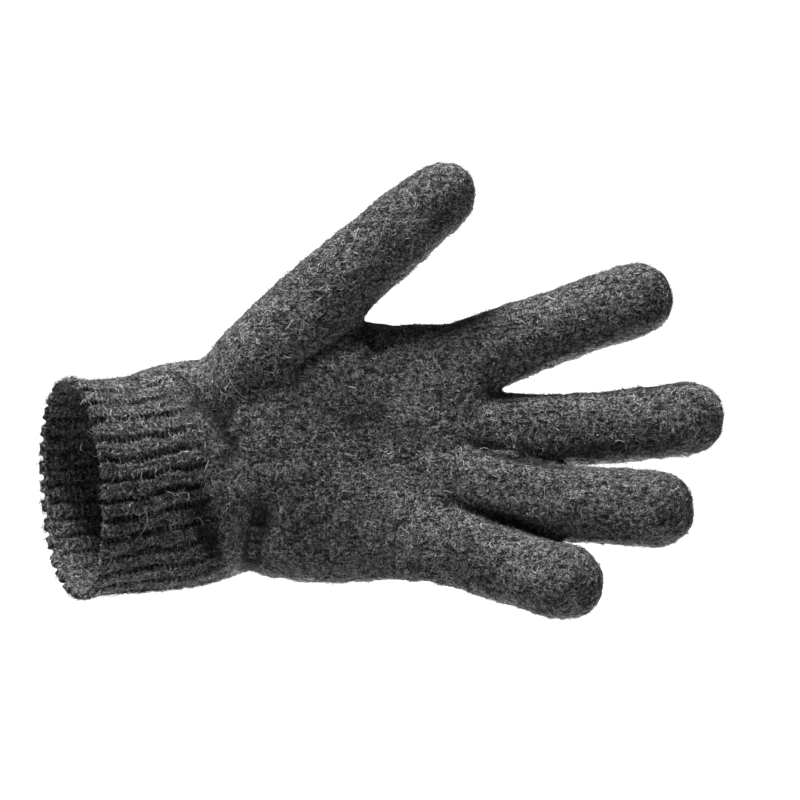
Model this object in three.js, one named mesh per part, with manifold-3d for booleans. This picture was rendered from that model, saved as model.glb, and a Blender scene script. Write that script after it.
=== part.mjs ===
// A thick felted wool glove liner for the left hand, as worn: a ribbed cuff, the hand, a thumb and four
// fingers, all hollow. Millimetres. The origin is the middle of the wrist opening, +X runs towards the
// fingertips, +Z towards the thumb, and the palm faces -Y.
import * as THREE from "three";
import { mergeVertices } from "three/addons/utils/BufferGeometryUtils.js";
import Module from "manifold-3d";

const wasm = await Module();
wasm.setup();

// Knitted walls, and the gap that keeps two pieces apart
const CUFF_WALL = 3;
const HAND_WALL = 2.8;
const SEAM_GAP = 0.3;

// Cuff: measured over its 2x2 ribs, which fade out towards the waist
const CUFF_LENGTH = 58;
const CUFF_WIDTH = 76.5;
const CUFF_DEPTH = 54;
const RIB_PITCH = 6.9;
const RIB_HEIGHT = 1.4;
const RIM_ROUND = 1;

// Waist: the drawn-in ring where the hand is knitted on
const WAIST_WIDTH = 78;
const WAIST_DEPTH = 46;

// Hand, from the waist to the webs between the fingers
const PALM_LENGTH = 98;
const PALM_WIDTH = 92;
const PALM_DEPTH = 43;
const KNUCKLE_DEPTH = 33;
const PALM_END = 16;
const PALM_CUP = 15;
const CUP_POWER = 1.3;
const THUMB_WEB = 5;

// The middle of the trunk: each row runs on for a share of the cuff's or the palm's length, in degrees
// up towards the thumb and back towards the back of the hand
const CUFF_RUN = [
  { share: 0.5, rise: 4, back: 31 },
  { share: 0.5, rise: 12, back: 14 },
];
const PALM_RUN = [
  { share: 0.3, rise: 6, back: 0 },
  { share: 0.3, rise: 4.5, back: -2 },
  { share: 0.4, rise: -1, back: -4 },
];

// Sections of the cuff, by share of its length: how far its size has gone over to the waist's, a
// swelling as a share of the size, and how much of the ribs' height is left
const CUFF_SECTIONS = [
  { at: 0, waist: 0, swell: 0.015, rib: 1 },
  { at: 0.15, waist: 0, swell: 0, rib: 1 },
  { at: 0.5, waist: 0.1, swell: 0.02, rib: 1 },
  { at: 0.75, waist: 0.4, swell: 0.05, rib: 0.9 },
  { at: 0.9, waist: 0.8, swell: 0.03, rib: 0.45 },
  { at: 1, waist: 1, swell: 0, rib: 0.15 },
];

// Sections of the hand, by share of its length: how far the waist's size has gone over to the palm's,
// how far the depth has gone over to the knuckles', and how much of the cup and of the web beside the
// thumb there is
const PALM_SECTIONS = [
  { at: 0, palm: 0, knuckle: 0, cup: 0, web: 0 },
  { at: 0.12, palm: 0.35, knuckle: 0, cup: 0, web: 0 },
  { at: 0.3, palm: 0.85, knuckle: 0, cup: 0.1, web: 0 },
  { at: 0.48, palm: 1, knuckle: 0.2, cup: 0.35, web: 1 },
  { at: 0.58, palm: 1, knuckle: 0.55, cup: 0.6, web: 0 },
  { at: 0.78, palm: 1, knuckle: 1, cup: 1, web: 0 },
  { at: 1, palm: 0.97, knuckle: 1.5, cup: 1, web: 0 },
];

// Folds and hollows of the palm side. Each runs from one place to another, along as shares of the palm's
// length from the waist and up as shares of its width from the middle. Depth is a share of the wall, and
// reach, how far it spreads, one of the palm's width.
const FOLDS = [
  { name: "wrist_crease", along: 0.14, up: -0.14, toAlong: 0.05, toUp: -0.48, depth: 0.9, reach: 0.06 },
  { name: "wrist_tuck", along: 0.02, up: 0.3, toAlong: -0.03, toUp: 0.02, depth: 0.6, reach: 0.05 },
  { name: "knuckle_fold", along: 0.53, up: 0.14, toAlong: 0.68, toUp: -0.42, depth: 0.55, reach: 0.06 },
  { name: "palm_hollow", along: 0.3, up: 0.2, toAlong: 0.55, toUp: 0.02, depth: 0.7, reach: 0.16 },
];

// Thumb and fingers. A limb starts inside the hand, at shares along its length, up its width and under
// its middle by its depth. Splay and curl are the degrees by which it sets out towards the thumb's side
// and the palm's, and bend and close are what they gain by the tip. Beyond is how far past the hand's
// edge its own piece starts, as a share of its width.
const FINGERS = {
  index_finger: {
    length: 92, width: 26.5, depth: 24, along: 0.755, up: 0.3, under: 0,
    splay: 21.5, bend: -4, curl: 1, close: 8, beyond: 0.1,
  },
  middle_finger: {
    length: 106, width: 26, depth: 24.4, along: 0.755, up: 0.074, under: 0,
    splay: 0.8, bend: 6, curl: 1.5, close: 9, beyond: 0.55,
  },
  ring_finger: {
    length: 97, width: 27.2, depth: 25, along: 0.755, up: -0.088, under: 0.05,
    splay: -12, bend: 10, curl: 13, close: 3, beyond: 0.56,
  },
  little_finger: {
    length: 68, width: 26.4, depth: 24.6, along: 0.755, up: -0.325, under: 0.02,
    splay: -19.5, bend: 6.5, curl: 18, close: 7, beyond: 0.05,
  },
};
const THUMB = {
  length: 125, width: 28, depth: 27.4, along: -0.03, up: 0.268, under: 0.1,
  splay: 41.3, bend: -2, curl: 4, close: 4, beyond: 0.1,
};

// Sections of a finger and of the thumb, by share of the length, as shares of the width and depth
const FINGER_SECTIONS = [
  { at: 0, width: 1.14, depth: 1.14 },
  { at: 0.35, width: 1.02, depth: 1 },
  { at: 0.6, width: 0.98, depth: 0.97 },
  { at: 0.82, width: 1.01, depth: 1 },
  { at: 1, width: 0.97, depth: 0.95 },
];
const THUMB_SECTIONS = [
  { at: 0, width: 0.8, depth: 1.2 },
  { at: 0.38, width: 1.04, depth: 1.12 },
  { at: 0.62, width: 1, depth: 0.98 },
  { at: 0.85, width: 0.92, depth: 0.88 },
  { at: 1, width: 0.78, depth: 0.8 },
];
const BEND_FROM = 0.35;
const BEND_TO = 0.9;
const TIP_ROUND = 0.55;

// How square a section and a closed end are, where 2 is an ellipse
const TRUNK_SQUARE = 2.15;
const DIGIT_SQUARE = 2.15;
const END_SQUARE = 2.3;

// Facets around each form, and rings along it
const FACETS_PER_RIB = 4;
const HAND_FACETS = 44;
const DIGIT_FACETS = 20;
const LINING_FACETS = 16;
const CUFF_RINGS = 7;
const PALM_RINGS = 13;
const DIGIT_RINGS = 7;
const BEND_STEPS = 6;
const END_RINGS = 4;

const FELT = new THREE.MeshStandardMaterial({ color: 0x454545, roughness: 1, metalness: 0 });
const RIB_KNIT = new THREE.MeshStandardMaterial({ color: 0x3c3c3c, roughness: 1, metalness: 0 });

const { degToRad, lerp, clamp, smoothstep } = THREE.MathUtils;
const TRUNK_LENGTH = CUFF_LENGTH + PALM_LENGTH;
const REACH = 2 * (TRUNK_LENGTH + PALM_WIDTH);

// A table of rows as one smooth function of the place along it
function smooth(rows) {
  const columns = Object.keys(rows[0]).filter((column) => column !== "at");
  const places = rows.map((row) => row.at);
  const values = rows.flatMap((row) => columns.map((column) => row[column]));
  const spline = new THREE.CubicInterpolant(places, values, columns.length);
  return (at) => {
    const found = spline.evaluate(at);
    return Object.fromEntries(columns.map((column, i) => [column, found[i]]));
  };
}

// A smooth path from a start through steps, each a length in degrees up towards the thumb and back
// towards the back of the hand
function path(start, steps) {
  const points = [start];
  for (const { length, rise, back } of steps) {
    const level = Math.cos(degToRad(back));
    const step = new THREE.Vector3(
      level * Math.cos(degToRad(rise)),
      Math.sin(degToRad(back)),
      level * Math.sin(degToRad(rise)),
    );
    points.push(points.at(-1).clone().addScaledVector(step, length));
  }
  return new THREE.CatmullRomCurve3(points);
}

// Squares off the sine or cosine of an ellipse
function squared(value, square) {
  return Math.sign(value) * Math.abs(value) ** (2 / square);
}

// Angles that divide the edge of an ellipse evenly
function evenTurns(width, depth, count) {
  const ellipse = new THREE.EllipseCurve(0, 0, width / 2, depth / 2);
  return ellipse.getSpacedPoints(count).map((p) => Math.atan2(p.y / depth, p.x / width));
}

// A geometry as a solid that can be joined and cut
function solidOf(geometry) {
  geometry.deleteAttribute("normal");
  geometry.deleteAttribute("uv");
  const merged = mergeVertices(geometry, 1e-4);
  const corners = [];
  for (let i = 0; i < merged.index.count; i += 3) {
    const [a, b, c] = merged.index.array.slice(i, i + 3);
    if (a !== b && b !== c && c !== a) corners.push(a, b, c);
  }
  return new wasm.Manifold(
    new wasm.Mesh({
      numProp: 3,
      vertProperties: merged.attributes.position.array,
      triVerts: new Uint32Array(corners),
    }),
  );
}

// A solid as a named mesh
function meshOf(name, solid, material) {
  const { vertProperties, triVerts } = solid.getMesh();
  const geometry = new THREE.BufferGeometry();
  geometry.setAttribute("position", new THREE.BufferAttribute(vertProperties, 3));
  geometry.setIndex(new THREE.BufferAttribute(triVerts, 1));
  geometry.computeVertexNormals();
  const mesh = new THREE.Mesh(geometry, material);
  mesh.name = name;
  return mesh;
}

// A limb: a path with a section at each place along it. Every place is in millimetres from its start.
class Limb {
  constructor(path, length, section, square, lift) {
    Object.assign(this, { path, length, section, square, lift });
  }

  frame(along) {
    const share = clamp(along / this.length, 0, 1);
    const forward = this.path.getTangentAt(share);
    const centre = this.path.getPointAt(share);
    centre.addScaledVector(forward, along - share * this.length);
    const up = new THREE.Vector3(0, 0, 1).addScaledVector(forward, -forward.z).normalize();
    return { centre, forward, up, under: forward.clone().cross(up) };
  }

  // A point inside the limb, up its width and down its depth from the middle
  point(along, across, down) {
    const { centre, up, under } = this.frame(along);
    const lift = this.lift(along, across, down);
    return centre.addScaledVector(up, across + lift.up).addScaledVector(under, down + lift.under);
  }

  // A closed form through rings, each with its place along the limb and its share of the full section.
  // It is taken in by an inset that may change along the limb and from facet to facet.
  form(rings, turns, inset) {
    const profile = rings.map(({ along, scale }) => new THREE.Vector2(scale, along));
    const geometry = new THREE.LatheGeometry(profile, turns.length - 1);
    turns.forEach((turn, facet) => {
      rings.forEach(({ along, scale }, ring) => {
        const { width, depth } = this.section(along);
        const taken = inset(along, facet);
        const across = squared(Math.cos(turn), this.square) * scale * (width / 2 - taken);
        const down = squared(Math.sin(turn), this.square) * scale * (depth / 2 - taken);
        const placed = this.point(along, across, down);
        geometry.attributes.position.setXYZ(facet * rings.length + ring, placed.x, placed.y, placed.z);
      });
    });
    return solidOf(geometry);
  }

  // All the space ahead of a place along the limb
  ahead(along) {
    const { centre, forward, up, under } = this.frame(along);
    const turned = new THREE.Matrix4().makeBasis(under, forward, up);
    turned.setPosition(centre.addScaledVector(forward, REACH / 2));
    return solidOf(new THREE.BoxGeometry(REACH, REACH, REACH).applyMatrix4(turned));
  }
}

// Rings of a form from a flat end, at the places given
function rings(places) {
  return [{ along: places[0], scale: 0 }, ...places.map((along) => ({ along, scale: 1 }))];
}

// Places that divide a stretch evenly
function spaced(from, to, count) {
  return Array.from({ length: count + 1 }, (_, i) => lerp(from, to, i / count));
}

// The rings with a flat end put on
function flatEnded(list) {
  return [...list, { along: list.at(-1).along, scale: 0 }];
}

// The rings with a round end put on, which reaches a place further along
function roundEnded(list, to) {
  const from = list.at(-1).along;
  const end = spaced(0, Math.PI / 2, END_RINGS).slice(1);
  const round = end.map((turn) => ({
    along: lerp(from, to, squared(Math.sin(turn), END_SQUARE)),
    scale: turn < Math.PI / 2 ? squared(Math.cos(turn), END_SQUARE) : 0,
  }));
  return [...list, ...round];
}

// Trunk: the cuff and the hand along one path
const cuffTable = smooth(CUFF_SECTIONS);
const palmTable = smooth(PALM_SECTIONS);

function trunkSection(along) {
  if (along < CUFF_LENGTH) {
    const { waist, swell } = cuffTable(along / CUFF_LENGTH);
    return {
      width: lerp(CUFF_WIDTH, WAIST_WIDTH, waist) * (1 + swell),
      depth: lerp(CUFF_DEPTH, WAIST_DEPTH, waist) * (1 + swell),
    };
  }
  const { palm, knuckle } = palmTable((along - CUFF_LENGTH) / PALM_LENGTH);
  return {
    width: lerp(WAIST_WIDTH, PALM_WIDTH, palm),
    depth: lerp(lerp(WAIST_DEPTH, PALM_DEPTH, palm), KNUCKLE_DEPTH, knuckle),
  };
}

// How far the folds sink a place of the palm side
function foldDepth(along, across, down) {
  const place = new THREE.Vector3(along, across);
  const nearest = new THREE.Vector3();
  let sunk = 0;
  for (const fold of FOLDS) {
    const from = new THREE.Vector3(CUFF_LENGTH + fold.along * PALM_LENGTH, fold.up * PALM_WIDTH);
    const to = new THREE.Vector3(CUFF_LENGTH + fold.toAlong * PALM_LENGTH, fold.toUp * PALM_WIDTH);
    new THREE.Line3(from, to).closestPointToPoint(place, true, nearest);
    const away = nearest.distanceTo(place) / (fold.reach * PALM_WIDTH);
    sunk += fold.depth * HAND_WALL * Math.exp(-(away ** 2));
  }
  return sunk * smoothstep(down, 0, KNUCKLE_DEPTH / 3);
}

// The web beside the thumb, the cup of the palm, which brings the little finger forward, and the folds
function trunkLift(along, across, down) {
  const { cup, web } = palmTable((along - CUFF_LENGTH) / PALM_LENGTH);
  const little = clamp((-2 * across) / PALM_WIDTH, 0, 1);
  return {
    up: web * THUMB_WEB * smoothstep(across, 0, PALM_WIDTH / 2),
    under: cup * PALM_CUP * little ** CUP_POWER - foldDepth(along, across, down),
  };
}

const trunkPath = path(new THREE.Vector3(), [
  ...CUFF_RUN.map((row) => ({ ...row, length: row.share * CUFF_LENGTH })),
  ...PALM_RUN.map((row) => ({ ...row, length: row.share * PALM_LENGTH })),
]);
const trunk = new Limb(trunkPath, TRUNK_LENGTH, trunkSection, TRUNK_SQUARE, trunkLift);

// How much of the rim's rounding there is at a place along the cuff
function rimRound(along) {
  return clamp(RIM_ROUND - along, 0, RIM_ROUND);
}

// The hollow of the cuff and the hand
function trunkHollow() {
  const inset = (along) => {
    const { waist } = cuffTable(along / CUFF_LENGTH);
    return lerp(CUFF_WALL + RIB_HEIGHT, HAND_WALL, waist) - rimRound(along);
  };
  const places = [-CUFF_WALL, ...spaced(0, RIM_ROUND, 1), ...spaced(RIM_ROUND, CUFF_LENGTH, 5).slice(1)];
  const palm = spaced(CUFF_LENGTH, TRUNK_LENGTH - PALM_END, PALM_RINGS).slice(1);
  const list = roundEnded(rings([...places, ...palm]), TRUNK_LENGTH - HAND_WALL);
  return trunk.form(list, evenTurns(CUFF_WIDTH, CUFF_DEPTH, LINING_FACETS), inset);
}

// The cuff's outer form: ribs that stand out between their grooves
function cuffForm() {
  const girth = new THREE.EllipseCurve(0, 0, CUFF_WIDTH / 2, CUFF_DEPTH / 2).getLength();
  const ribs = Math.round(girth / RIB_PITCH);
  const inset = (along, facet) => {
    const groove = 1 - Math.sqrt(Math.sin((Math.PI * (facet % FACETS_PER_RIB)) / FACETS_PER_RIB));
    return RIB_HEIGHT * cuffTable(along / CUFF_LENGTH).rib * groove + rimRound(along);
  };
  const places = [0, ...spaced(RIM_ROUND, CUFF_LENGTH, CUFF_RINGS)];
  const turns = evenTurns(CUFF_WIDTH, CUFF_DEPTH, ribs * FACETS_PER_RIB);
  return trunk.form(flatEnded(rings(places)), turns, inset);
}

// The hand's outer form, which starts a little before the waist and is trimmed there
function handForm() {
  const places = spaced(CUFF_LENGTH - HAND_WALL, TRUNK_LENGTH - PALM_END, PALM_RINGS);
  const list = roundEnded(rings(places), TRUNK_LENGTH);
  return trunk.form(list, evenTurns(PALM_WIDTH, PALM_DEPTH, HAND_FACETS), () => 0);
}

// A finger or the thumb: its limb, and the place along it where its own piece starts, past the hand's
// edge
function digit(row, sections, edge) {
  const along = CUFF_LENGTH + row.along * PALM_LENGTH;
  const start = trunk.point(along, row.up * PALM_WIDTH, row.under * PALM_DEPTH);
  const steps = spaced(0, 1, BEND_STEPS).slice(1).map((share) => {
    const gained = smoothstep(share, BEND_FROM, BEND_TO);
    return {
      length: row.length / BEND_STEPS,
      rise: row.splay + row.bend * gained,
      back: -row.curl - row.close * gained,
    };
  });
  const table = smooth(sections);
  const section = (place) => {
    const { width, depth } = table(place / row.length);
    return { width: row.width * width, depth: row.depth * depth };
  };
  const limb = new Limb(path(start, steps), row.length, section, DIGIT_SQUARE, () => ({ up: 0, under: 0 }));
  return { row, limb, start: edge + row.beyond * row.width };
}

// The limb's form from one place to its round tip, taken in by an inset
function digitForm({ row, limb }, from, inset) {
  const round = TIP_ROUND * row.width;
  const list = rings(spaced(from, row.length - round, DIGIT_RINGS));
  const turns = evenTurns(row.width, row.depth, inset > 0 ? LINING_FACETS : DIGIT_FACETS);
  return limb.form(roundEnded(list, row.length - inset), turns, () => inset);
}

// How far it is along a finger from its start to the palm's end, and along the thumb to the palm's side
function fingerEdge({ along, splay, curl }) {
  return ((1 - along) * PALM_LENGTH) / (Math.cos(degToRad(splay)) * Math.cos(degToRad(curl)));
}

function thumbEdge({ up, width, splay }) {
  return ((0.5 - up) * PALM_WIDTH + width / 2) / Math.sin(degToRad(splay));
}

const digits = { thumb: digit(THUMB, THUMB_SECTIONS, thumbEdge(THUMB)) };
for (const [name, row] of Object.entries(FINGERS)) {
  digits[name] = digit(row, FINGER_SECTIONS, fingerEdge(row));
}

const hollow = Object.values(digits).reduce(
  (joined, each) => joined.add(digitForm(each, HAND_WALL, HAND_WALL)),
  trunkHollow(),
);

const glove = new THREE.Group();
glove.add(meshOf("cuff", cuffForm().subtract(trunkHollow()), RIB_KNIT));

// Each digit is one form, cut in two: its root stays with the hand, and the rest is a piece of its own
let hand = handForm();
const cutters = [];
for (const [name, each] of Object.entries(digits)) {
  const whole = digitForm(each, 0, 0);
  let piece = whole.subtract(hollow).intersect(each.limb.ahead(each.start + SEAM_GAP));
  for (const cutter of cutters) piece = piece.subtract(cutter);
  glove.add(meshOf(name, piece, FELT));
  cutters.push(digitForm(each, each.start, -SEAM_GAP));
  hand = hand.add(whole.subtract(each.limb.ahead(each.start + HAND_WALL)));
}
hand = hand.subtract(hollow).intersect(trunk.ahead(CUFF_LENGTH + SEAM_GAP));
for (const cutter of cutters) hand = hand.subtract(cutter);
glove.add(meshOf("hand", hand, FELT));

export default glove;
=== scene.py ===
"""Looks of a knitted and felted wool glove liner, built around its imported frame."""

import math

import bmesh
import bpy
import numpy as np
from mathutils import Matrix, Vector
from mathutils.bvhtree import BVHTree


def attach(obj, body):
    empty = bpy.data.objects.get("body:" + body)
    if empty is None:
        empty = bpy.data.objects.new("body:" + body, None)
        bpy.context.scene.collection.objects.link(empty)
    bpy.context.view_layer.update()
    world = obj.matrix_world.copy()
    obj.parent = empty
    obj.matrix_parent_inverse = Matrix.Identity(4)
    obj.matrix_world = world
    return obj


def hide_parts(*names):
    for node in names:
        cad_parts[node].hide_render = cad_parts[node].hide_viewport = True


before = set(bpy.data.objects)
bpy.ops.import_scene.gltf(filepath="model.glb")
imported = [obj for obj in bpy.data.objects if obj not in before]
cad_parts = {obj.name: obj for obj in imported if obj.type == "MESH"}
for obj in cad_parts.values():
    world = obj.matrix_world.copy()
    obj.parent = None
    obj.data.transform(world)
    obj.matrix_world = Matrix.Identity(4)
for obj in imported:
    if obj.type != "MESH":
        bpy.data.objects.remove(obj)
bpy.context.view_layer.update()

# Lengths are in mm, apart from the studio's, which are in metres
MM = 0.001
TINY = 1e-12
FAR_OFF = 1e9
UP = np.array([0, 0, 1.0])

# How near two corners lie, in metres, where they are one: in the CAD, and on the cuff's grid
CAD_DOUBLES = 1e-6
GRID_DOUBLES = 1e-7

# The cuff's middle line, from the rim to the waist, and its turn there
RIM_MIDDLE = np.array([0.0, 0.0, 0.0])
RIM_WAY = np.array([0.855, 0.515, 0.060])
WAIST_MIDDLE = np.array([52.6, 21.9, 7.8])
WAIST_WAY = np.array([0.980, 0.122, 0.154])
CUFF_LENGTH = 58.0
CUFF_WIDTH = 76.5
CUFF_DEPTH = 54.0
CUFF_WALL = 3.0
CUFF_OVERLAP = 11.0

# The grid that the cuff is worked on
TURNS = 480
OUTER_ROWS = 134
RIM_ROWS = 10
INNER_ROWS = 40
OVAL_STEPS = 20001
LINING_PAST_WAIST = 2.0

# How the cuff's girth is taken from the CAD: stations along it, the length of the rays, how far a
# station may dip below those beside it, and the waves around it that are kept, too few for ribs
STATIONS = 36
FIRST_STATION = 2.0
RAY_REACH = 90.0
GIRTH_DIP = 1.2
GIRTH_WAVES = 15
GIRTH_PASSES = 3
FLARE = 0.9
FLARE_RUN = 7.0

# The cuff's ribs, counted so that grooves lie at whole numbers, each with two knit wales and a
# parting between them: heights and depths in mm, widths as shares of a rib, and how much the
# felting wears the knit down
RIBS = 30
WALES_IN_RIB = 2
RIB_TOP = 0.45
RIB_GAP = 1.9
COURSE = 2.0
GROOVE_HALF = 0.19
GROOVE_VARIES = 0.35
GROOVE_FLANK = (0.45, 1.25)
GROOVE_TURN = 2.399
BRIDGE = 0.60
BRIDGE_VARIES = 0.35
PARTING_DEPTH = 0.30
PARTING_HALF = 0.06
STITCH_RISE = 0.16
WORN_RELIEF = 0.12
WORN_TOP = 0.45
WORN_WAIST = 0.9
WAIST_FADE = (30.0, 54.0)
LINING_RISE = 0.35
LINING_GROOVE = 0.8
LINING_HALF = 0.16
SCALLOP_RISE = 0.35
SCALLOP = 0.9
SCALLOP_RUN = 2.2
SCALLOP_HALF = 0.16

# The hand's felt: its distance from the solids, its voxels and how it is smoothed
FELT_SWELL = 0.2
FELT_CELL = 1.16
FELTING = 0.5
FELT_PASSES = 24

# The seam at the waist, where the hand's edge is tucked in and the cuff's end sinks under the hand
TUCK = 2.3
TUCK_RUN = 7.0
SINK = 1.8
SINK_START = 4.0

# How deep a place lies, in mm, where the painted shade in the wool's hollows is darkest
HAND_SHADE_DEPTH = 1.6
CUFF_SHADE_DEPTH = 1.5
CUFF_SHADE_START = 0.1

# Seeded lumps in the wool: height in mm, or in ribs for the wander, size in mm and seed
HAND_LUMPS = [(0.40, 11.0, 1), (0.30, 5.0, 2), (0.26, 2.4, 3)]
CUFF_LUMPS = [(0.25, 8.0, 17), (0.20, 3.0, 18), (0.16, 1.6, 19)]
RIB_WANDER = [(0.10, 9.0, 11), (0.07, 3.4, 12)]

# Creases across the palm's side of the wrist, the swell of the thumb's root, which is a crease of
# negative depth, and the lines from the fingers' forks into the palm: points (x, z) in mm, half
# width and depth in mm
CREASES = [
    ([(38.0, 39.5), (45.5, 30.5), (52.0, 23.5), (56.5, 16.0), (57.5, 6.0)], 4.2, 1.7),
    ([(44.0, 5.0), (45.5, -6.0), (47.5, -15.0), (50.0, -23.0), (52.5, -29.5)], 4.4, 2.3),
    ([(42.5, -29.5), (48.5, -28.5), (53.0, -31.5)], 2.2, 1.0),
    (
        [(66.5, -4.0), (66.0, -11.0), (64.5, -18.0), (62.6, -25.0), (61.5, -30.0), (60.6, -44.0)],
        3.2,
        3.0,
    ),
    ([(62.0, 30.5), (72.0, 36.0), (84.0, 42.5), (98.0, 49.5), (112.0, 56.0)], 13.0, -3.4),
    ([(139.0, 16.5), (150.0, 13.2), (160.0, 11.0), (170.0, 9.0), (180.0, 8.5)], 1.9, 2.2),
    ([(132.0, -4.0), (142.0, -7.2), (151.0, -10.2), (161.0, -13.4), (174.0, -18.4)], 1.9, 1.7),
]
CREASE_LIP = 0.15
LIP_AWAY = 2.2
CREASE_TAPER = 0.7
PALM_SIDE = (-0.4, 0.35)

HAND_NODES = ["hand", "thumb", "index_finger", "middle_finger", "ring_finger", "little_finger"]

# Middle lines inside the palm and digits, which tell the outside from the inside
PALM_MIDDLE = np.array([100.0, 18.0, 12.0])
KNUCKLES_AHEAD = 150.0
KNUCKLES_UP = (-14.0, 4.0, 20.0, 34.0)
DIGIT_ROOT = 14
DIGIT_TIP = 12

# Loose fibres: how round the glove is below them, how deep their roots sit, how they gather in
# tufts, how far they are tilted, and powers that make more of them short and dark
LIMB_RADIUS = 13.0
LIMB_SAG = 0.8
ROOT_DEPTH = 0.08
TUFT_SIZE = 2.1
TUFT_EDGES = (-0.28, 0.32)
BARE_SHARE = 0.10
FIBRE_TILT = 0.55
LOOP_SHARE = 0.5
MOSTLY_SHORT = 1.6
MOSTLY_DARK = 2.6
TONE_SIZE = 2.6

# Greys of the wool; the greys for hollows and gaps, pits and the troughs along knit legs are
# painted shade
HOLLOW_SHADE_GREY = 0.003
PIT_SHADE_GREY = 0.004
LEG_SHADE_GREY = 0.006
DARK_GREY = 0.008
CLOUD_GREY = 0.028
SPECKLE_GREY = 0.19
CURL_GREY = 0.30
GRAIN_GREY = 0.02
FIBRE_GREY = 0.60

# The faint stitches on the palm: a wale's width, a stitch's length and where they start and end
PALM_WALE = 1.65
PALM_STITCH = 2.7
PALM_START = (58.0, 66.0)
PALM_END = (130.0, 92.0)

# The studio, in metres: the camera, the paper that bends up behind the floor, and soft lamps
CAMERA_PLACE = (0.1157, -0.882, 0.0314)
SENSOR_MM = 36
LENS_MM = 112.5
CLIP_START = 0.01
CLIP_END = 30
FLOOR_HALF = 3.0
BEND_STEPS = 9
BEND_STEP = 0.14
WALL_RISE = 4.0
PAPER_SHIFT = (0.1, -1.2, -0.22)
PAPER_GREY = 0.5
PAPER_GLOW = 0.9
PAPER_GLOW_RUN_MM = (60.0, 420.0)
AIR_STRENGTH = 0.035
LAMPS = [
    # name, place, aim, size and power in watts
    ("top_window", (-0.14, -0.24, 1.0), (0.11, 0.0, 0.03), 0.34, 39.0),
    ("front_window", (-0.5, -1.2, 0.5), (0.11, 0.0, 0.03), 0.9, 0.6),
    ("under_glow", (0.16, 0.24, -0.205), (0.14, 0.0, 0.02), 0.4, 14.0),
]


def unit(rows):
    """Vectors along the last axis, made one long."""
    return rows / np.maximum(np.linalg.norm(rows, axis=-1, keepdims=True), TINY)


def eased(value, low, high):
    """A smooth step from 0 at low to 1 at high."""
    share = np.clip((value - low) / (high - low), 0, 1)
    return share * share * (3 - 2 * share)


def bell(value, width):
    """1 where the value is 0, and less the further it is from 0."""
    return np.exp(-((value / width) ** 2))


def between(ends, share):
    """The value at this share of the way between two ends."""
    return ends[0] + (ends[1] - ends[0]) * share


def lumps(points, size, seed):
    """Seeded smooth noise from -1 to 1, with lumps of about that size."""
    cells = points / size
    low = np.floor(cells).astype(np.int64)
    share = cells - low
    share = share * share * (3 - 2 * share)
    total = np.zeros(points.shape[:-1])
    for corner in np.ndindex(2, 2, 2):
        cell = low + np.array(corner)
        mixed = cell[..., 0] * 73856093 ^ cell[..., 1] * 19349663 ^ cell[..., 2] * 83492791
        mixed = (mixed ^ seed * 2654435761) & 0xFFFFFFFF
        mixed = (mixed ^ mixed >> 15) * 2246822519 & 0xFFFFFFFF
        mixed = (mixed ^ mixed >> 13) * 3266489917 & 0xFFFFFFFF
        height = (mixed >> 8 & 0xFFFF) / 32767.5 - 1
        weight = np.where(np.array(corner) == 1, share, 1 - share).prod(-1)
        total += height * weight
    return total


def lumped(relief, points, table):
    """This relief with a table of seeded lumps on it."""
    for height, size, seed in table:
        relief = relief + height * lumps(points, size, seed)
    return relief


def coordinates(mesh):
    """A mesh's vertices as an array in mm."""
    flat = np.zeros(len(mesh.vertices) * 3)
    mesh.vertices.foreach_get("co", flat)
    return flat.reshape(-1, 3) / MM


def normals(mesh):
    """A mesh's vertex normals as an array."""
    flat = np.zeros(len(mesh.vertices) * 3)
    mesh.vertex_normals.foreach_get("vector", flat)
    return flat.reshape(-1, 3)


def place(mesh, points):
    """Moves a mesh's vertices to these points in mm."""
    mesh.vertices.foreach_set("co", (points * MM).ravel())
    mesh.update()


def mark(mesh, name, values):
    """Keeps one number for each vertex under this name."""
    layer = mesh.attributes.new(name, "FLOAT", "POINT")
    layer.data.foreach_set("value", np.asarray(values, float))


def smooth(mesh):
    """Makes all faces smooth."""
    mesh.polygons.foreach_set("use_smooth", np.ones(len(mesh.polygons), bool))


def shown(name, mesh):
    """A new object at the origin that shows this mesh, with smooth faces."""
    mesh.name = name
    smooth(mesh)
    piece = bpy.data.objects.new(name, mesh)
    bpy.context.scene.collection.objects.link(piece)
    return piece


def mesh_of(name, form):
    """A new mesh from a bmesh, which is freed."""
    mesh = bpy.data.meshes.new(name)
    form.to_mesh(mesh)
    form.free()
    return mesh


def merged_copy(nodes, swell=0.0):
    """A bmesh with copies of these CAD nodes, their doubles merged, moved out by a swell in mm."""
    form = bmesh.new()
    for node in nodes:
        form.from_mesh(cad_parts[node].data)
    bmesh.ops.remove_doubles(form, verts=form.verts, dist=CAD_DOUBLES)
    form.normal_update()
    for vertex in form.verts:
        vertex.co += vertex.normal * swell * MM
    return form


def settled(piece):
    """Applies a piece's modifiers to its mesh."""
    graph = bpy.context.evaluated_depsgraph_get()
    mesh = bpy.data.meshes.new_from_object(piece.evaluated_get(graph))
    piece.modifiers.clear()
    piece.data = mesh
    return mesh


def limb_lines():
    """Middle lines of the cuff, the palm and each digit, as start and end points in mm."""
    lines = [(RIM_MIDDLE, WAIST_MIDDLE), (WAIST_MIDDLE, PALM_MIDDLE)]
    for up in KNUCKLES_UP:
        lines.append((PALM_MIDDLE, np.array([KNUCKLES_AHEAD, 8.0 + 0.12 * up, up])))
    for node in HAND_NODES[1:]:
        cloud = coordinates(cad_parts[node].data)
        middle = (cloud.min(0) + cloud.max(0)) / 2
        way = np.linalg.svd(cloud - cloud.mean(0), full_matrices=False)[2][0]
        way = way * np.sign(way[0])
        run = (cloud - middle) @ way
        root = middle + way * (run.min() - DIGIT_ROOT)
        lines.append((root, middle + way * (run.max() - DIGIT_TIP)))
    return lines


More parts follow.
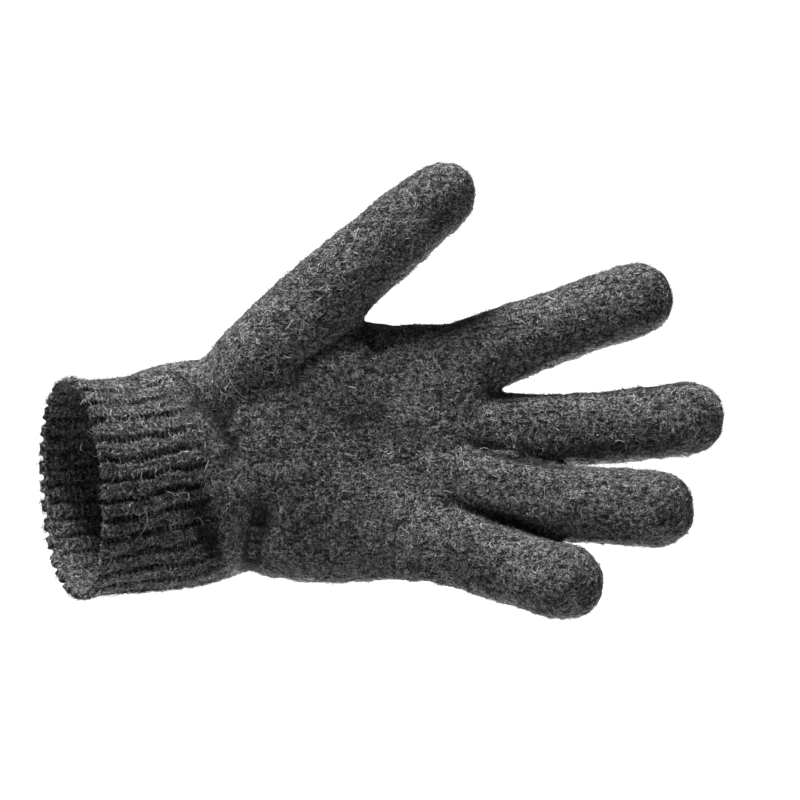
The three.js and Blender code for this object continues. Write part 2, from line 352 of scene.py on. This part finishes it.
def is_outer(points, outward):
    """Which points lie on the glove's outside: their normals leave the nearest middle line."""
    nearest = np.full(len(points), FAR_OFF)
    facing = np.zeros(len(points))
    for start, end in limb_lines():
        way = end - start
        share = np.clip((points - start) @ way / (way @ way), 0, 1)
        away = points - start - share[:, None] * way
        gap = np.linalg.norm(away, axis=1)
        closer = gap < nearest
        nearest = np.where(closer, gap, nearest)
        facing = np.where(closer, (away * outward).sum(1), facing)
    return facing > 0


def creased(points, outward):
    """How deep the creases cut at these points, in mm, on the outside of the palm's side only."""
    deep = np.zeros(len(points))
    flat = points[:, [0, 2]]
    for line, half, depth in CREASES:
        knots = np.array(line)
        nearest = np.full(len(points), FAR_OFF)
        along = np.zeros(len(points))
        for step, (start, end) in enumerate(zip(knots[:-1], knots[1:])):
            way = end - start
            share = np.clip((flat - start) @ way / (way @ way), 0, 1)
            gap = np.linalg.norm(flat - start - share[:, None] * way, axis=1)
            closer = gap < nearest
            nearest = np.where(closer, gap, nearest)
            along = np.where(closer, (step + share) / (len(knots) - 1), along)
        taper = np.sin(np.pi * np.clip(0.03 + 0.94 * along, 0, 1)) ** CREASE_TAPER
        lip = CREASE_LIP * bell(nearest - LIP_AWAY * half, half)
        deep += depth * taper * (bell(nearest, half) - lip)
    return deep * eased(-outward[:, 1], *PALM_SIDE) * is_outer(points, outward)


def felted_hand():
    """Hand, thumb and fingers as one felted skin, inside and out."""
    piece = shown("felted_hand", mesh_of("felted_hand", merged_copy(HAND_NODES, FELT_SWELL)))
    remesh = piece.modifiers.new("felt cells", "REMESH")
    remesh.mode = "VOXEL"
    remesh.voxel_size = FELT_CELL * MM
    felting = piece.modifiers.new("felting", "SMOOTH")
    felting.factor = FELTING
    felting.iterations = FELT_PASSES
    mesh = settled(piece)
    mesh.name = "felted_hand"
    points = coordinates(mesh)
    outward = normals(mesh)
    rise = lumped(0.0, points, HAND_LUMPS) - creased(points, outward)
    past = (points - WAIST_MIDDLE) @ WAIST_WAY
    away = unit(points - WAIST_MIDDLE - past[:, None] * WAIST_WAY)
    tuck = TUCK * (1 - eased(past, 0.0, TUCK_RUN))
    place(mesh, points + outward * rise[:, None] - away * tuck[:, None])
    # painted shade: the deeper a place sinks below the felt, the darker its wool
    mark(mesh, "hollow", np.clip(-rise / HAND_SHADE_DEPTH, 0, 1))
    smooth(mesh)
    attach(piece, "root")
    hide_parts(*HAND_NODES)
    return piece


def cuff_line(along):
    """The middle line's point and way at lengths from the rim in mm."""
    share = np.clip(along / CUFF_LENGTH, 0, 1)[..., None]
    start = RIM_WAY * CUFF_LENGTH
    end = WAIST_WAY * CUFF_LENGTH
    rim_part = 2 * share**3 - 3 * share**2 + 1
    start_part = share**3 - 2 * share**2 + share
    end_part = share**3 - share**2
    point = rim_part * RIM_MIDDLE + start_part * start + (1 - rim_part) * WAIST_MIDDLE
    point = point + end_part * end
    point = point + np.maximum(along - CUFF_LENGTH, 0)[..., None] * WAIST_WAY
    way = (6 * share**2 - 6 * share) * (RIM_MIDDLE - WAIST_MIDDLE)
    way = way + (3 * share**2 - 4 * share + 1) * start + (3 * share**2 - 2 * share) * end
    return point, unit(way)


def square_to(way):
    """The two ways that are square to a way: towards the thumb, and across it."""
    up = unit(UP - way[..., 2:] * way)
    return up, np.cross(way, up)


def even_turns():
    """Angles that split the cuff's oval into even lengths, from the thumb's side."""
    fine = np.linspace(0, 2 * np.pi, OVAL_STEPS)
    oval = np.stack([CUFF_WIDTH / 2 * np.cos(fine), CUFF_DEPTH / 2 * np.sin(fine)], -1)
    run = np.concatenate([[0], np.cumsum(np.linalg.norm(np.diff(oval, axis=0), axis=1))])
    at = np.interp(np.arange(TURNS) / TURNS * run[-1], run, fine)
    return np.arctan2(CUFF_DEPTH * np.sin(at), CUFF_WIDTH * np.cos(at))


def cuff_girth(stations, turns):
    """The CAD cuff's and hand's outer radius at each station and turn, with its ribs evened out.

    A ray that slips in between the two at the waist is lifted to what lies on both sides of it.
    """
    form = merged_copy(["cuff", "hand", "thumb"])
    tree = BVHTree.FromBMesh(form)
    form.free()
    radius = np.zeros((len(stations), TURNS))
    for row, along in enumerate(stations):
        middle, way = cuff_line(np.array(along))
        up, side = square_to(way)
        for turn, angle in enumerate(turns):
            out = math.cos(angle) * up + math.sin(angle) * side
            length = tree.ray_cast(Vector((middle + out * RAY_REACH) * MM), Vector(-out))[3]
            radius[row, turn] = RAY_REACH - length / MM if length is not None else np.nan
    for gap in (1, 2):
        floor = np.minimum(radius[: -2 * gap], radius[2 * gap :]) - GIRTH_DIP
        radius[gap:-gap] = np.maximum(radius[gap:-gap], floor)
    waves = np.fft.rfft(radius, axis=1)
    waves[:, GIRTH_WAVES:] = 0
    evened = np.fft.irfft(waves, TURNS, axis=1)
    for _ in range(GIRTH_PASSES):
        padded = np.pad(evened, ((1, 1), (0, 0)), mode="edge")
        evened = 0.25 * padded[:-2] + 0.5 * padded[1:-1] + 0.25 * padded[2:]
    return evened


def cuff_rows(total):
    """For each row of the grid its length from the rim, its depth in the wall in mm, and its
    share of outside: down the outside, around the rim and back up the inside."""
    half_wall = CUFF_WALL / 2
    roll = np.linspace(0, np.pi, RIM_ROWS + 2)[1:-1]
    outer = np.linspace(total, half_wall, OUTER_ROWS)
    inner = np.linspace(half_wall, CUFF_LENGTH + LINING_PAST_WAIST, INNER_ROWS)
    rolled = half_wall * (1 - np.cos(roll))
    shared = np.cos(roll) * 0.5 + 0.5
    along = np.concatenate([outer, half_wall * (1 - np.sin(roll)), inner])
    depth = np.concatenate([np.zeros(OUTER_ROWS), rolled, np.full(INNER_ROWS, CUFF_WALL)])
    outside = np.concatenate([np.ones(OUTER_ROWS), shared, np.zeros(INNER_ROWS)])
    return along, depth, outside


def plain_cuff(along, depth, total):
    """The cuff's form without its ribs: points, normals, and the ways out of and along it."""
    turn = np.arange(TURNS + 1)
    turns = even_turns()
    stations = np.linspace(FIRST_STATION, total, STATIONS)
    evened = cuff_girth(stations, turns)
    clipped = np.clip(along, stations[0], stations[-1])
    radius = np.stack([np.interp(clipped, stations, evened[:, t % TURNS]) for t in turn], 1)
    radius = radius - depth[:, None] + FLARE * eased(-along, -FLARE_RUN, 0.0)[:, None]
    angle = turns[turn % TURNS][None, :, None]
    middle, way = cuff_line(along)
    up, side = square_to(way)
    out = np.cos(angle) * up[:, None] + np.sin(angle) * side[:, None]
    points = middle[:, None] + out * radius[..., None]
    around = np.roll(points[:, :-1], -1, 1) - np.roll(points[:, :-1], 1, 1)
    around = np.concatenate([around, around[:, :1]], 1)
    outward = unit(np.cross(np.gradient(points, axis=0), around))
    outward *= np.sign((outward[:OUTER_ROWS] * out[:OUTER_ROWS]).sum())
    return points, outward, out, way


def knit_relief(points, ahead, ribs, up, outside):
    """How high the ribs, grooves and stitches stand in mm, and how plain the knit shows."""
    rib = np.round(ribs)
    off = np.abs(ribs - rib)
    felted = 1 - WORN_TOP * eased(up, 0.0, 0.75) * eased(ahead, 1, 9)
    fading = 1 - WORN_WAIST * eased(ahead + 4 * lumps(points, 14.0, 13), *WAIST_FADE)
    strength = felted * fading
    half = GROOVE_HALF * (1 + GROOVE_VARIES * lumps(points, 5.0, 14))
    groove = 1 - eased(off, GROOVE_FLANK[0] * half, GROOVE_FLANK[1] * half)
    course = ahead / COURSE
    jitter = (rib % RIBS) * GROOVE_TURN
    swing = np.cos(2 * np.pi * course + jitter + 2.2 * lumps(points, 7.0, 15))
    bridge = BRIDGE + BRIDGE_VARIES * lumps(points, 5.0, 16)
    bridged = 1 - bridge * eased(swing, -0.5, 0.9)
    parting = PARTING_DEPTH * bell(off - 0.5, PARTING_HALF)
    stitch = STITCH_RISE * np.cos(2 * np.pi * (course + 0.8 * np.abs(off - 0.25)))
    relief = RIB_TOP - RIB_GAP * groove * bridged - parting + stitch * (1 - groove)
    relief = WORN_RELIEF + (relief - WORN_RELIEF) * strength
    lining = LINING_RISE - LINING_GROOVE * bell(off - 0.5, LINING_HALF) + 0.6 * stitch
    lining = lining * eased(ahead, 0.0, 4.0) * (1 - outside)
    return np.where(outside > 0.5, relief, lining), strength


def grid_mesh(name, points, numbers, uv):
    """A closed ring of a mesh from a grid of points, with numbers and a UV map kept on it."""
    rows = len(points)
    form = bmesh.new()
    bmesh.ops.create_grid(form, x_segments=TURNS, y_segments=rows, size=1.0)
    mesh = mesh_of(name, form)
    share = (coordinates(mesh) * MM + 1) / 2
    column = np.round(share[:, 0] * TURNS).astype(int)
    row = np.round(share[:, 1] * rows).astype(int) % rows
    place(mesh, points[row, column])
    for number, values in numbers.items():
        mark(mesh, number, values[row, column])
    knit = mesh.uv_layers.new(name="knit")
    corners = np.zeros(len(mesh.loops), int)
    mesh.loops.foreach_get("vertex_index", corners)
    knit.data.foreach_set("uv", uv[row[corners], column[corners]].ravel())
    form = bmesh.new()
    form.from_mesh(mesh)
    bmesh.ops.remove_doubles(form, verts=form.verts, dist=GRID_DOUBLES)
    bmesh.ops.recalc_face_normals(form, faces=form.faces)
    form.to_mesh(mesh)
    form.free()
    return mesh


def ribbed_cuff():
    """The cuff, worked on one grid: its ribbed outside, its rolled rim and its inside."""
    total = CUFF_LENGTH + CUFF_OVERLAP
    along, depth, outside = cuff_rows(total)
    points, outward, out, way = plain_cuff(along, depth, total)
    ahead = np.broadcast_to(along[:, None], points.shape[:2])
    outside = outside[:, None]
    worked = outside > 0.5
    turn = np.arange(TURNS + 1)
    wander = lumped(0.0, points, RIB_WANDER)
    ribs = (turn / TURNS * RIBS)[None] + wander * eased(ahead, 1.0, 8.0)
    relief, strength = knit_relief(points, ahead, ribs, out[..., 2], outside)
    relief = lumped(relief, points, CUFF_LUMPS)
    sunk = eased(ahead, CUFF_LENGTH + SINK_START, total) * worked
    relief = relief - SINK * sunk
    bite = creased(points.reshape(-1, 3), outward.reshape(-1, 3)).reshape(relief.shape)
    relief = relief - bite * worked * (1 - sunk)
    stitches = np.cos(2 * np.pi * turn / TURNS * RIBS * 4)[None]
    scallop = SCALLOP_RISE - SCALLOP * bell(np.abs(ribs - np.round(ribs)), SCALLOP_HALF)
    scallop = (scallop + 0.12 * stitches) * bell(ahead, SCALLOP_RUN)
    points = points + outward * relief[..., None] - way[:, None] * scallop[..., None]
    points[:, -1] = points[:, 0]
    numbers = {
        # painted shade: the deeper the knit's grooves and hollows sink, the darker
        "hollow": np.clip((CUFF_SHADE_START - relief) / CUFF_SHADE_DEPTH, 0, 1),
        "opened": np.where(worked, strength, 0.5),
    }
    uv = np.stack([ribs * WALES_IN_RIB, ahead / COURSE], -1)
    piece = shown("ribbed_cuff", grid_mesh("ribbed_cuff", points, numbers, uv))
    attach(piece, "root")
    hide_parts("cuff")
    return piece


def rooted(piece, count, rng, shy):
    """Seeded root points, normals and the painted shade of hollows for fibres on a piece's
    outside.
    """
    mesh = piece.data
    mesh.calc_loop_triangles()
    corners = np.zeros(len(mesh.loop_triangles) * 3, int)
    mesh.loop_triangles.foreach_get("vertices", corners)
    corners = corners.reshape(-1, 3)
    points = coordinates(mesh)
    outward = normals(mesh)
    hollow = np.zeros(len(points))
    mesh.attributes["hollow"].data.foreach_get("value", hollow)
    middles = points[corners].mean(1)
    first, second, third = (points[corners[:, corner]] for corner in range(3))
    crossed = np.cross(second - first, third - first)
    area = np.linalg.norm(crossed, axis=1)
    tufted = eased(lumps(middles, TUFT_SIZE, 31), *TUFT_EDGES)
    tufted = BARE_SHARE + (1 - BARE_SHARE) * tufted
    weight = area * tufted * is_outer(middles, unit(crossed))
    weight = weight * (1 - shy * hollow[corners].mean(1))
    picked = rng.choice(len(weight), count, p=weight / weight.sum())
    share = rng.dirichlet((1, 1, 1), count)[..., None]
    root = (points[corners[picked]] * share).sum(1)
    normal = unit((outward[corners[picked]] * share).sum(1))
    return root, normal, (hollow[corners[picked]] * share[..., 0]).sum(1)


def curled(rng, root, normal, length, lift, curl, parts):
    """Lines of points for fibres that curl over the wool, half of them as loops."""
    count = len(root)
    across = unit(np.cross(normal, unit(rng.normal(size=(count, 3)))))
    beside = np.cross(normal, across)
    long = between(length, rng.random(count) ** MOSTLY_SHORT)
    bend = rng.normal(0, curl, count)[:, None]
    twist = rng.normal(0, curl * 0.5, count)[:, None]
    loop = rng.random(count) < LOOP_SHARE
    high = lift * (0.25 + rng.random(count) ** 2)
    steps = np.linspace(0, 1, parts + 1)
    turn = bend * steps + twist * np.sin(2 * np.pi * steps + rng.random((count, 1)) * 6)
    step = long[:, None] / parts
    x = np.cumsum(np.cos(turn) * step, 1) - np.cos(turn[:, :1]) * step
    y = np.cumsum(np.sin(turn) * step, 1) - np.sin(turn[:, :1]) * step
    arch = np.where(loop[:, None], 4 * steps * (1 - steps), steps**1.3 * 1.4)
    sag = (x**2 + y**2) / (2 * LIMB_RADIUS)
    z = -ROOT_DEPTH + high[:, None] * arch - sag * LIMB_SAG
    line = root[:, None] + x[..., None] * across[:, None] + y[..., None] * beside[:, None]
    return line + z[..., None] * normal[:, None]


def ribbon_mesh(name, left, right):
    """Ribbons between rows of left and right points, all in one mesh."""
    count, stops = left.shape[:2]
    points = np.stack([left, right], 2).reshape(-1, 3)
    first = (np.arange(count)[:, None] * stops + np.arange(stops - 1)) * 2
    faces = np.stack([first, first + 2, first + 3, first + 1], -1).reshape(-1, 4)
    mesh = bpy.data.meshes.new(name)
    mesh.vertices.add(len(points))
    mesh.loops.add(faces.size)
    mesh.polygons.add(len(faces))
    mesh.loops.foreach_set("vertex_index", faces.ravel())
    mesh.polygons.foreach_set("loop_start", np.arange(len(faces)) * 4)
    mesh.polygons.foreach_set("loop_total", np.full(len(faces), 4))
    place(mesh, points)
    mesh.update(calc_edges=True)
    mesh.validate()
    return mesh


def fibres(name, pieces, seed, length, width, lift, curl, parts, tone, shy=0.0):
    """Loose curly wool fibres on these pieces, given with how many each carries, as one mesh.

    Length, width and lift are in mm, curl is in radians, tone runs from dark to pale wool, and shy
    fibres keep out of hollows.
    """
    rng = np.random.default_rng(seed)
    found = [rooted(piece, count, rng, shy) for piece, count in pieces]
    root, normal, hollow = (np.concatenate(part) for part in zip(*found))
    count = len(root)
    line = curled(rng, root, normal, length, lift, curl, parts)
    way = unit(np.gradient(line, axis=1))
    facing = unit(normal + FIBRE_TILT * rng.normal(size=(count, 3)))[:, None]
    edge = unit(np.cross(way, np.broadcast_to(facing, way.shape)))
    thick = width * (0.6 + 0.7 * rng.random((count, 1)))
    steps = np.linspace(0, 1, parts + 1)
    thin = thick * (0.35 + 0.65 * np.sin(np.pi * (0.12 + 0.76 * steps)))
    aside = edge * thin[..., None] / 2
    mesh = ribbon_mesh(name, line - aside, line + aside)
    pale = between(tone, rng.random(count) ** MOSTLY_DARK)
    # painted shade: fibres rooted in hollows are made darker
    pale = pale * (1 - 0.6 * hollow) * (0.62 + 0.62 * lumps(root, TONE_SIZE, 32))
    mark(mesh, "pale", np.repeat(pale, 2 * (parts + 1)))
    piece = shown(name, mesh)
    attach(piece, "root")
    return piece


hand = felted_hand()
cuff = ribbed_cuff()
coats = [
    fibres(
        "hand_fuzz", [(hand, 21000)],
        seed=21, length=(1.8, 4.2), width=0.21, lift=0.55, curl=1.5, parts=4, tone=(0.0, 1.0),
    ),
    fibres(
        "hand_nap", [(hand, 21000)],
        seed=22, length=(1.5, 3.4), width=0.21, lift=0.35, curl=1.3, parts=4, tone=(0.0, 0.8),
    ),
    fibres(
        "cuff_fuzz", [(cuff, 17000)], shy=0.9,
        seed=23, length=(1.6, 3.8), width=0.21, lift=0.45, curl=1.4, parts=4, tone=(0.0, 0.9),
    ),
    fibres(
        "short_hairs", [(hand, 17000), (cuff, 6500)],
        seed=25, length=(0.9, 2.4), width=0.14, lift=0.95, curl=1.7, parts=3, tone=(0.25, 0.95),
    ),
    fibres(
        "stray_hairs", [(hand, 260), (cuff, 140)],
        seed=24, length=(5.0, 14.0), width=0.14, lift=2.2, curl=1.8, parts=14, tone=(0.6, 1.0),
    ),
]


def grey(value):
    """A grey as a colour."""
    return (value, value, value, 1.0)


class Link:
    """An output of a shader node, so that maths on it reads as plain Python."""

    def __init__(self, finish, socket):
        self.finish = finish
        self.socket = socket

    def __add__(self, other):
        return self.finish.maths("ADD", self, other)

    def __radd__(self, other):
        return self.finish.maths("ADD", other, self)

    def __sub__(self, other):
        return self.finish.maths("SUBTRACT", self, other)

    def __rsub__(self, other):
        return self.finish.maths("SUBTRACT", other, self)

    def __mul__(self, other):
        return self.finish.maths("MULTIPLY", self, other)

    def __abs__(self):
        return self.finish.maths("ABSOLUTE", self)


class Finish:
    """A material, and the one way in which its nodes are made."""

    def __init__(self, name, **constants):
        self.material = bpy.data.materials.new(name)
        self.material.use_nodes = True
        self.tree = self.material.node_tree
        self.shader = self.tree.nodes["Principled BSDF"]
        for socket, value in constants.items():
            self.shader.inputs[socket.replace("_", " ")].default_value = value

    def node(self, kind, settings=None, values=None, output=0):
        """A new node with these settings, and with values or links in its inputs."""
        made = self.tree.nodes.new(kind)
        for name, value in (settings or {}).items():
            setattr(made, name, value)
        for name, value in (values or {}).items():
            if isinstance(value, Link):
                self.tree.links.new(value.socket, made.inputs[name])
            else:
                made.inputs[name].default_value = value
        return Link(self, made.outputs[output])

    def maths(self, how, *values):
        """Maths on numbers."""
        return self.node("ShaderNodeMath", {"operation": how}, dict(enumerate(values)))

    def vector_maths(self, how, vector, other):
        """Maths on vectors."""
        return self.node("ShaderNodeVectorMath", {"operation": how}, {0: vector, 1: other})

    def places(self):
        """Object coordinates in mm."""
        raw = self.node("ShaderNodeTexCoord", output="Object")
        scale = {0: raw, "Scale": 1 / MM}
        return self.node("ShaderNodeVectorMath", {"operation": "SCALE"}, scale)

    def split(self, vector):
        """The x, y and z of a vector."""
        made = self.node("ShaderNodeSeparateXYZ", {}, {0: vector}).socket.node
        return [Link(self, output) for output in made.outputs]

    def noise(self, vector, size, detail=2.0, rough=0.5, warp=0.0):
        """Smooth noise from about 0 to 1, with lumps of this size."""
        values = {"Vector": vector, "Scale": 1 / size, "Detail": detail}
        values.update({"Roughness": rough, "Distortion": warp})
        return self.node("ShaderNodeTexNoise", {}, values)

    def wave(self, value, length=1.0):
        """A sine wave of this length."""
        return self.maths("SINE", value * (2 * math.pi / length))

    def step(self, value, low, high, start=0.0, end=1.0):
        """A smooth step between two values."""
        values = {"Value": value, "From Min": low, "From Max": high}
        values.update({"To Min": start, "To Max": end})
        return self.node("ShaderNodeMapRange", {"interpolation_type": "SMOOTHSTEP"}, values)

    def mix(self, share, first, second):
        """A colour between two others."""
        values = {0: share, 6: first, 7: second}
        return self.node("ShaderNodeMix", {"data_type": "RGBA"}, values, output=2)

    def kept(self, name):
        """A number kept on the mesh."""
        return self.node("ShaderNodeAttribute", {"attribute_name": name}, output="Fac")

    def curls(self, vector, size, thin, shift):
        """Thin curly lines, as loose fibres lie on felt."""
        field = self.noise(self.vector_maths("ADD", vector, shift), size, 1.0, 0.5, 0.6)
        line = self.step(abs(field - 0.5), 0.0, thin, 1.0, 0.0)
        elsewhere = self.vector_maths("ADD", vector, (shift[1], shift[2], shift[0]))
        broken = self.noise(elsewhere, size * 0.8, 1.0)
        return line * self.step(broken, 0.44, 0.58)

    def connect(self, colour, rough, height):
        """Joins colour, roughness and a height in mm to the shader."""
        bump = self.node("ShaderNodeBump", {}, {"Strength": 1.0, "Distance": MM, "Height": height})
        self.tree.links.new(colour.socket, self.shader.inputs["Base Color"])
        self.tree.links.new(rough.socket, self.shader.inputs["Roughness"])
        self.tree.links.new(bump.socket, self.shader.inputs["Normal"])
        return self.material


def rib_stitches(felt, at, base, height):
    """The legs of the knit wales and the bars of the purl wales, on the cuff's own UV map, with
    painted shade in the gaps between bars and in the dips along the legs.
    """
    wale, course, _ = felt.split(felt.node("ShaderNodeUVMap", {"uv_map": "knit"}))
    opened = felt.kept("opened")
    lean = felt.maths("PINGPONG", wale, 0.5)
    leg = felt.wave(course + lean * 0.9)
    purl = felt.step(felt.maths("PINGPONG", wale, 1.0), 0.52, 0.26)
    bar = felt.wave(course + felt.noise(at, 5.0, 1.0) * 0.8)
    gap = felt.step(bar, 0.1, 0.8) * purl * opened
    leg_shade = felt.step(leg, 0.4, 1.0) * (1 - purl) * opened
    # painted shade in the sunk gaps between the purl bars
    base = felt.mix(gap * 0.85, base, grey(HOLLOW_SHADE_GREY))
    # painted shade along the knit legs, in the dips the bump sinks
    base = felt.mix(leg_shade * 0.6, base, grey(LEG_SHADE_GREY))
    return base, height - leg * opened * 0.20 - gap * 0.55


def palm_stitches(felt, at, base, height):
    """Rows of faint stitches behind the fingers, and streaks where the wool is drawn out, both
    sunk in and painted darker as shade.
    """
    ahead, _, across = felt.split(at)
    drift = felt.noise(at, 6.0, 1.0)
    wale = felt.wave(across + drift * 1.6, PALM_WALE)
    beat = felt.wave(ahead + drift * 5.0, PALM_STITCH)
    near = felt.step(ahead, *PALM_START) * felt.step(ahead, *PALM_END)
    dashes = felt.step(wale * (0.62 + beat * 0.38), 0.25, 0.95) * near
    drawn = felt.vector_maths("MULTIPLY", at, (0.34, 1.0, 1.0))
    streak = felt.step(felt.noise(drawn, 1.5, 2.0), 0.57, 0.66)
    # painted shade in the sunk stitch dashes and streaks
    base = felt.mix(dashes * 0.55, base, grey(PIT_SHADE_GREY))
    base = felt.mix(streak * 0.85, base, grey(PIT_SHADE_GREY))
    return base, height - dashes * 0.35 - streak * 0.35


def felt_finish(name, stitches):
    """Charcoal felted wool: dark fleece, pale curly fibres, speckle, soft clouds and stitches,
    with painted shade in hollows and pits.
    """
    felt = Finish(name, Sheen_Weight=0.05, Sheen_Roughness=0.5, Specular_IOR_Level=0.04)
    at = felt.places()
    pale = felt.curls(at, 2.1, 0.030, (3.1, 7.7, 1.3))
    pale = pale + felt.curls(at, 1.5, 0.036, (11.9, 2.3, 5.9))
    pale = pale + felt.curls(at, 2.8, 0.022, (6.1, 17.2, 9.4))
    speckle = felt.noise(at, 0.75, 2.0, 0.6)
    fleece = felt.noise(at, 1.7, 3.0, 0.65)
    clouds = felt.noise(at, 7.0, 3.0, 0.6)
    base = felt.mix(felt.step(clouds, 0.35, 0.65), grey(DARK_GREY), grey(CLOUD_GREY))
    base = felt.mix(felt.step(speckle, 0.40, 0.66), base, grey(SPECKLE_GREY))
    # painted shade in the fleece's low pits
    base = felt.mix(felt.step(fleece, 0.58, 0.40) * 0.9, base, grey(PIT_SHADE_GREY))
    base = felt.mix(felt.step(pale, 0.0, 1.0) * 0.5, base, grey(CURL_GREY))
    # painted shade darkens the wool in hollows and creases
    base = felt.mix(felt.kept("hollow") * 0.9, base, grey(HOLLOW_SHADE_GREY))
    height = pale * 0.10 + speckle * 0.45 + fleece * 0.95
    base, height = stitches(felt, at, base, height)
    return felt.connect(base, 0.96 - pale * 0.12, height)


def fibre_finish():
    """Single wool fibres, each with its own tone, darkened as painted shade where they root in
    hollows, and a fine dark grain.
    """
    wool = Finish("wool_fibre", Sheen_Weight=0.05, Sheen_Roughness=0.5, Specular_IOR_Level=0.08)
    grain = wool.noise(wool.places(), 0.4, 1.0)
    pale = wool.kept("pale")
    colour = wool.mix(pale, grey(DARK_GREY), grey(FIBRE_GREY))
    colour = wool.mix(wool.step(grain, 0.3, 0.7) * 0.35, colour, grey(GRAIN_GREY))
    return wool.connect(colour, 0.95 - pale * 0.2, grain * 0.05)


hand.data.materials.append(felt_finish("charcoal_felt", palm_stitches))
cuff.data.materials.append(felt_finish("charcoal_rib", rib_stitches))
wool_fibre = fibre_finish()
for coat in coats:
    coat.data.materials.append(wool_fibre)


def photo_camera():
    """The camera, square to the palm as in the photo."""
    lens = bpy.data.cameras.new("photo_view")
    lens.sensor_width = SENSOR_MM
    lens.lens = LENS_MM
    lens.clip_start = CLIP_START
    lens.clip_end = CLIP_END
    camera = bpy.data.objects.new("photo_view", lens)
    camera.location = CAMERA_PLACE
    camera.rotation_euler = (math.pi / 2, 0, 0)
    bpy.context.scene.collection.objects.link(camera)
    bpy.context.scene.camera = camera


def extruded(form, edges, shift):
    """Draws these edges out by a shift, and gives the new ones."""
    grown = bmesh.ops.extrude_edge_only(form, edges=edges)["geom"]
    moved = [item for item in grown if isinstance(item, bmesh.types.BMVert)]
    bmesh.ops.translate(form, verts=moved, vec=shift)
    return [item for item in grown if isinstance(item, bmesh.types.BMEdge)]


def pale_floor():
    """A sheet of pale paper as floor and backdrop, which glows more the further back it is."""
    form = bmesh.new()
    bmesh.ops.create_grid(form, x_segments=1, y_segments=1, size=FLOOR_HALF)
    far = [edge for edge in form.edges if all(end.co.y > 0 for end in edge.verts)]
    for step in range(BEND_STEPS):
        turn = (step + 0.5) / BEND_STEPS * math.pi / 2
        shift = (0, BEND_STEP * math.cos(turn), BEND_STEP * math.sin(turn))
        far = extruded(form, far, shift)
    extruded(form, far, (0, 0, WALL_RISE))
    bmesh.ops.translate(form, verts=form.verts, vec=PAPER_SHIFT)
    bmesh.ops.recalc_face_normals(form, faces=form.faces)
    floor = shown("pale_floor", mesh_of("pale_floor", form))
    paper = Finish("pale_paper", Roughness=0.9, Specular_IOR_Level=0.1, Emission_Strength=1.0)
    paper.shader.inputs["Base Color"].default_value = grey(PAPER_GREY)
    back = paper.step(paper.split(paper.places())[1], *PAPER_GLOW_RUN_MM)
    lit = paper.mix(back, grey(0.0), grey(PAPER_GLOW))
    paper.tree.links.new(lit.socket, paper.shader.inputs["Emission Color"])
    floor.data.materials.append(paper.material)


def soft_light():
    """A little light from all around, and the lamps."""
    world = bpy.data.worlds.new("studio_air")
    bpy.context.scene.world = world
    world.use_nodes = True
    air = world.node_tree.nodes["Background"].inputs
    air["Color"].default_value = grey(1.0)
    air["Strength"].default_value = AIR_STRENGTH
    for name, where, aim, size, power in LAMPS:
        light = bpy.data.lights.new(name, "AREA")
        light.size = size
        light.energy = power
        lamp = bpy.data.objects.new(name, light)
        lamp.location = where
        lamp.visible_camera = False
        lamp.rotation_euler = (Vector(aim) - Vector(where)).to_track_quat("-Z", "Y").to_euler()
        bpy.context.scene.collection.objects.link(lamp)
    bpy.context.scene.view_settings.view_transform = "Standard"


photo_camera()
pale_floor()
soft_light()
